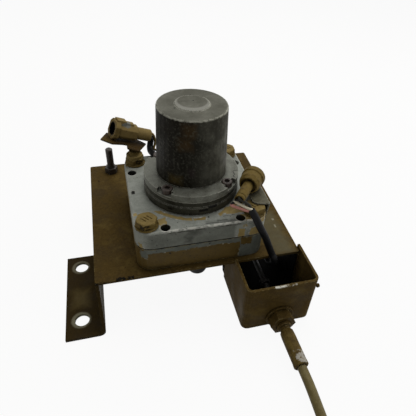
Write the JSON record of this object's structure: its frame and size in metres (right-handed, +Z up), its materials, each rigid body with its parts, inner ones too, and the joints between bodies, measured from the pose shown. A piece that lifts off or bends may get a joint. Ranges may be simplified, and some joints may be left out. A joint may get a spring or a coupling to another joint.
{
  "type": "engine governor actuator",
  "caption": "Electric governor actuator: gear motor on a folded plate with a foot, an output lever and a push-pull cable through a sheet box.",
  "frame": {"origin": "underside of the foot, midway between its two bolt holes", "axes": "+Z up, parallel to the motor shaft; -Y the way the control cable leaves the box; +X from the foot towards the cable box"},
  "size_m": [0.2579, 0.4549, 0.1886],
  "materials": {
    "olive_paint": "matt olive tan spray paint, dirty",
    "grey_paint": "satin grey paint, worn",
    "can_paint": "dull grey paint",
    "bare_steel": "plain steel",
    "dark_steel": "oiled dark steel",
    "bronze": "bearing bronze",
    "black_plastic": "matt",
    "painted_plastic": "plastic under overspray",
    "black_jacket": "matt cable jacket",
    "white_cover": "wire insulation",
    "pink_cover": "wire insulation",
    "grey_cover": "wire insulation"
  },
  "bodies": {
    "base": {"mounting_plate": "olive_paint", "foot_angle": "olive_paint", "cable_box": "olive_paint", "gearbox_body": "olive_paint", "gearbox_cover": "grey_paint", "housing_bolt_front_left": "bare_steel", "housing_bolt_front_right": "bare_steel", "housing_bolt_rear_left": "bare_steel", "housing_bolt_rear_right": "bare_steel", "motor_can": "can_paint", "motor_flange": "grey_paint", "adaptor_ring": "grey_paint", "flange_screw_1": "dark_steel", "flange_screw_2": "dark_steel", "flange_screw_3": "dark_steel", "flange_screw_4": "dark_steel", "lower_bearing": "bare_steel", "upper_bearing": "bare_steel", "magnet_left": "dark_steel", "magnet_right": "dark_steel", "brush_holder": "black_plastic", "output_bush": "bronze", "bulkhead_hub": "olive_paint", "hub_washer": "olive_paint", "outer_nut": "olive_paint", "inner_nut": "olive_paint", "crimp_sleeve": "olive_paint", "conduit": "olive_paint", "conduit_coil": "black_jacket", "conduit_tail": "black_jacket", "far_end_fitting": "bare_steel", "position_sensor": "black_plastic", "sensor_cable": "black_jacket", "left_connector": "painted_plastic", "left_boot": "painted_plastic", "left_bracket": "olive_paint", "motor_lead": "black_jacket", "motor_lead_wire": "painted_plastic", "right_connector": "painted_plastic", "right_boot": "painted_plastic", "right_bracket": "grey_paint", "white_wire": "white_cover", "pink_wire": "pink_cover", "grey_wire": "grey_cover", "rear_stud": "dark_steel", "stud_nut": "dark_steel"},
    "rotor": {"armature": "bare_steel", "commutator": "bronze", "motor_shaft": "bare_steel", "motor_pinion": "bare_steel"},
    "idler": {"idler_gear": "bare_steel", "idler_axle": "bare_steel"},
    "output": {"output_gear": "bare_steel", "output_shaft": "bare_steel", "output_lever": "bare_steel", "lever_nut": "bare_steel", "lever_pin": "bare_steel"},
    "rod": {"cable_rod": "bare_steel", "rod_nut": "olive_paint"},
    "far_rod": {"far_rod": "bare_steel"}
  },
  "joints": [
    {"name": "motor_spin", "type": "hinge", "parent": "base", "child": "rotor", "pos_m": [0.1185, 0.03, 0.15], "axis": [0, 0, 1], "range_deg": [-300, 300]},
    {"name": "idler_spin", "type": "hinge", "parent": "base", "child": "idler", "pos_m": [0.11591, 0.00011, 0.075], "axis": [0, 0, 1], "range_deg": [-75.5, 75.5]},
    {"name": "output_swing", "type": "hinge", "parent": "base", "child": "output", "pos_m": [0.152, 0.012, 0.06], "axis": [0, 0, 1], "range_deg": [-20.2, 20.2]},
    {"name": "rod_slide", "type": "slide", "parent": "base", "child": "rod", "axis": [0, 1, 0], "range_m": [-0.0112, 0.0112]},
    {"name": "far_rod_slide", "type": "slide", "parent": "base", "child": "far_rod", "axis": [1, 0, 0], "range_m": [-0.0112, 0.0112]}
  ],
  "couplings": [
    {"joint": "idler_spin", "follows": "motor_spin", "ratio": -0.25},
    {"joint": "output_swing", "follows": "motor_spin", "ratio": 0.066667},
    {"joint": "rod_slide", "follows": "motor_spin", "m_per_rad": 0.0021067},
    {"joint": "far_rod_slide", "follows": "motor_spin", "m_per_rad": 0.0021067}
  ]
}
